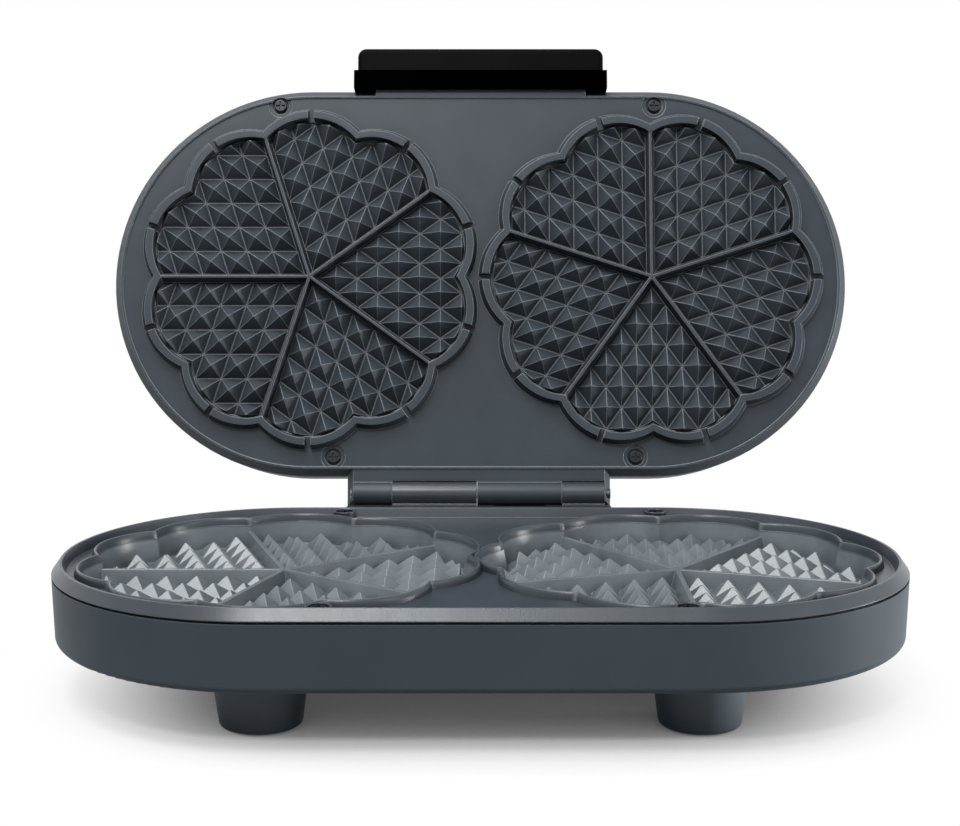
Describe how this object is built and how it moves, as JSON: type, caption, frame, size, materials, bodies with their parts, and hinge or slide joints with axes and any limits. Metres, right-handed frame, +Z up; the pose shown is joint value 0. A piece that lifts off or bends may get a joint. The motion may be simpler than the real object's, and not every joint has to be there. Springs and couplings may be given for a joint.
{
  "type": "double waffle maker",
  "caption": "Open electric waffle maker with side by side flower shaped heart moulds, a hinged lid that stands open, a front handle and round feet.",
  "frame": {"origin": "middle of the whole part's footprint with the lid standing open, at the level of the table", "axes": "+Z up, +X to the right seen from the front along the hinge axis, +Y to the rear where the hinge is"},
  "size_m": [0.38, 0.2948, 0.2906],
  "materials": {
    "casing": "fine matt moulded grain, slate grey",
    "cooking_plate": "cast aluminium under a satin slate grey non-stick coat",
    "foot": "matt moulded plastic, dark slate",
    "foot_pad": "soft matt rubber",
    "handle": "black moulded plastic, slight grain",
    "element_sheath": "heat tinted steel tube",
    "heat_shield": "bright rolled sheet",
    "terminal_block": "off white heat resistant moulding",
    "cord_inlet": "black nylon",
    "red_lens": "clear glossy red",
    "green_lens": "clear glossy green",
    "sensor": "plain pressed steel",
    "hinge_pin": "drawn steel rod",
    "fastener": "dark zinc plate"
  },
  "bodies": {
    "base": {"base_casing": "casing", "lower_cooking_plate": "cooking_plate", "hinge_pin": "hinge_pin", "lower_heating_element": "element_sheath", "lower_element_clips": "fastener", "lower_heat_shield": "heat_shield", "lower_plate_screws": "fastener", "thermostat": "sensor", "thermal_fuse": "sensor", "terminal_block": "terminal_block", "cord_inlet": "cord_inlet", "cord_inlet_nut": "cord_inlet", "foot_front_left": "foot", "foot_front_right": "foot", "foot_rear_left": "foot", "foot_rear_right": "foot", "foot_pad_front_left": "foot_pad", "foot_pad_front_right": "foot_pad", "foot_pad_rear_left": "foot_pad", "foot_pad_rear_right": "foot_pad", "foot_screws": "fastener"},
    "lid": {"lid_casing": "casing", "upper_cooking_plate": "cooking_plate", "upper_heating_element": "element_sheath", "upper_element_clips": "fastener", "upper_heat_shield": "heat_shield", "upper_plate_screws": "fastener", "handle_mount": "handle", "handle_grip": "handle", "handle_screws": "fastener", "power_lamp_lens": "red_lens", "ready_lamp_lens": "green_lens"}
  },
  "joints": [
    {"name": "lid_hinge", "type": "hinge", "parent": "base", "child": "lid", "pos_m": [0, 0.06477, 0.06324], "axis": [1, 0, 0], "range_deg": [0, 104.67]}
  ]
}
